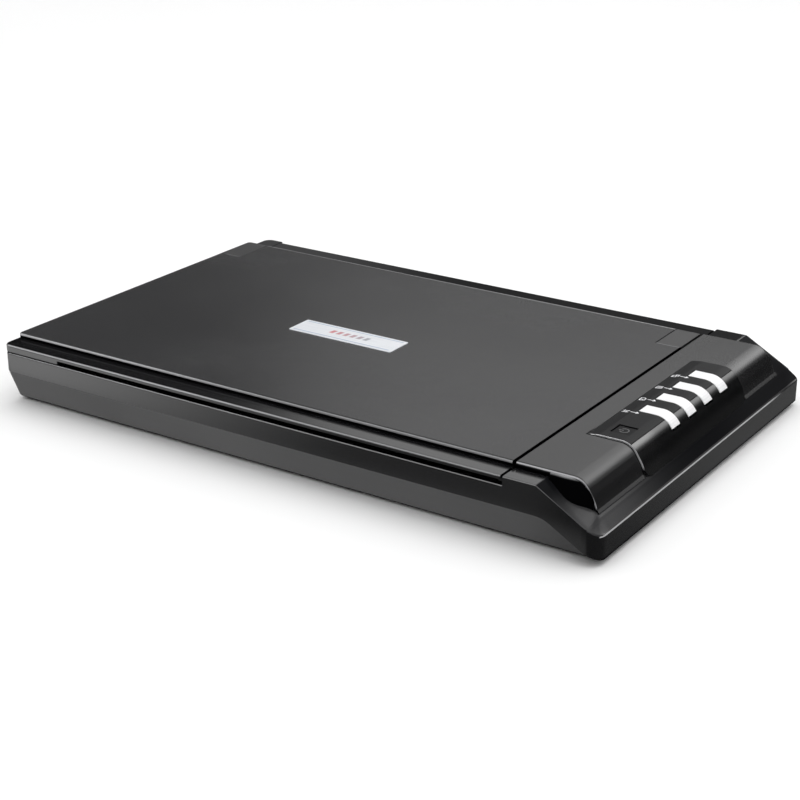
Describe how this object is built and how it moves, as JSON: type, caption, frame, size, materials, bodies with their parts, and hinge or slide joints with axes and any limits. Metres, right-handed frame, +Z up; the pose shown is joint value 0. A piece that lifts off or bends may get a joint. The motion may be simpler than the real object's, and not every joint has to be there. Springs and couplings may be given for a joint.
{
  "type": "flatbed scanner",
  "caption": "Low flatbed scanner: hinged lid over a glass bed, button panel on a rolled end, contact image sensor carriage driven along a rack inside.",
  "frame": {"origin": "centre of the footprint, on the table under the rubber feet", "axes": "+X towards the end with the buttons, +Y towards the hinge side, +Z up"},
  "size_m": [0.392, 0.255, 0.0413],
  "materials": {
    "case_plastic": "fine textured satin, dark grey",
    "tub_plastic": "fine textured, dark grey",
    "plate_plastic": "fine textured matte, charcoal",
    "pod_plastic": "smooth semi-gloss, near black",
    "overlay_film": "printed matte film with plain pictograms",
    "button_plastic": "white, fine dot texture",
    "clear_glass": "polished float glass",
    "black_tape": "black adhesive tape",
    "white_film": "white film",
    "foam": "white closed cell foam",
    "steel": "ground steel",
    "zinc_screw": "zinc plated",
    "acetal": "natural acetal",
    "black_plastic": "moulded black",
    "circuit_board": "green solder mask",
    "chip": "black moulding compound",
    "port_metal": "nickel plated shell",
    "bushing_brass": "sintered brass",
    "lens_glass": "ground lens rods in resin",
    "acrylic": "clear acrylic light guide",
    "rubber": "soft black rubber",
    "name_silver": "pale satin plate",
    "ribbon": "white polyester ribbon"
  },
  "bodies": {
    "base": {"lower_case": "tub_plastic", "upper_case": "case_plastic", "panel_cover": "plate_plastic", "button_pod": "pod_plastic", "control_label": "overlay_film", "button_board": "circuit_board", "tact_switches": "chip", "button_board_screws": "zinc_screw", "scan_glass": "clear_glass", "glass_seal": "black_tape", "calibration_strip": "white_film", "guide_rod": "steel", "rod_clamps": "black_plastic", "rod_clamp_screws": "zinc_screw", "drive_rack": "acetal", "main_board": "circuit_board", "board_chips": "chip", "board_screws": "zinc_screw", "usb_port": "port_metal", "power_jack": "black_plastic", "home_sensor": "black_plastic", "ribbon_cable": "ribbon", "rubber_feet": "rubber", "case_screws": "zinc_screw"},
    "lid": {"lid_frame": "case_plastic", "lid_top_plate": "plate_plastic", "hinge_cap_left": "plate_plastic", "hinge_cap_right": "plate_plastic", "lid_screws": "zinc_screw", "hinge_pins": "steel", "name_plate": "name_silver", "backing_foam": "foam", "white_sheet": "white_film", "lid_bumpers": "rubber"},
    "carriage": {"carriage_holder": "black_plastic", "rod_bushings": "bushing_brass", "gear_post": "steel", "cis_housing": "black_plastic", "rod_lens": "lens_glass", "light_guide": "acrylic", "sensor_board": "circuit_board", "glide_pads": "acetal", "cis_springs": "steel", "stepper_motor": "steel", "motor_screws": "zinc_screw"},
    "drive_gear": {"drive_gear": "acetal"},
    "motor_rotor": {"motor_pinion": "bushing_brass", "motor_shaft": "steel"},
    "scan_button": {"scan_button": "button_plastic"},
    "copy_button": {"copy_button": "button_plastic"},
    "document_button": {"document_button": "button_plastic"},
    "mail_button": {"mail_button": "button_plastic"},
    "power_button": {"power_button": "pod_plastic"}
  },
  "joints": [
    {"name": "lid_hinge", "type": "hinge", "parent": "base", "child": "lid", "pos_m": [0, 0.1232, 0.0324], "axis": [-1, 0, 0], "range_deg": [0, 95]},
    {"name": "carriage_slide", "type": "slide", "parent": "base", "child": "carriage", "axis": [-1, 0, 0], "range_m": [0, 0.3], "deforming": ["ribbon_cable"]},
    {"name": "drive_gear_spin", "type": "hinge", "parent": "carriage", "child": "drive_gear", "pos_m": [0.16, -0.0172, 0.0075], "axis": [0, 0, -1], "range_deg": [-5, 2400]},
    {"name": "motor_spin", "type": "hinge", "parent": "carriage", "child": "motor_rotor", "pos_m": [0.16, -0.0337, 0.011], "axis": [0, 0, 1], "range_deg": [-15, 6400]},
    {"name": "scan_press", "type": "slide", "parent": "base", "child": "scan_button", "axis": [0, 0, -1], "range_m": [0, 0.001], "stiffness_N_per_m": 900},
    {"name": "copy_press", "type": "slide", "parent": "base", "child": "copy_button", "axis": [0, 0, -1], "range_m": [0, 0.001], "stiffness_N_per_m": 900},
    {"name": "document_press", "type": "slide", "parent": "base", "child": "document_button", "axis": [0, 0, -1], "range_m": [0, 0.001], "stiffness_N_per_m": 900},
    {"name": "mail_press", "type": "slide", "parent": "base", "child": "mail_button", "axis": [0, 0, -1], "range_m": [0, 0.001], "stiffness_N_per_m": 900},
    {"name": "power_press", "type": "slide", "parent": "base", "child": "power_button", "axis": [0, 0, -1], "range_m": [0, 0.001], "stiffness_N_per_m": 900}
  ],
  "couplings": [
    {"joint": "drive_gear_spin", "follows": "carriage_slide", "rad_per_m": 138.89},
    {"joint": "motor_spin", "follows": "carriage_slide", "rad_per_m": 370.37}
  ]
}
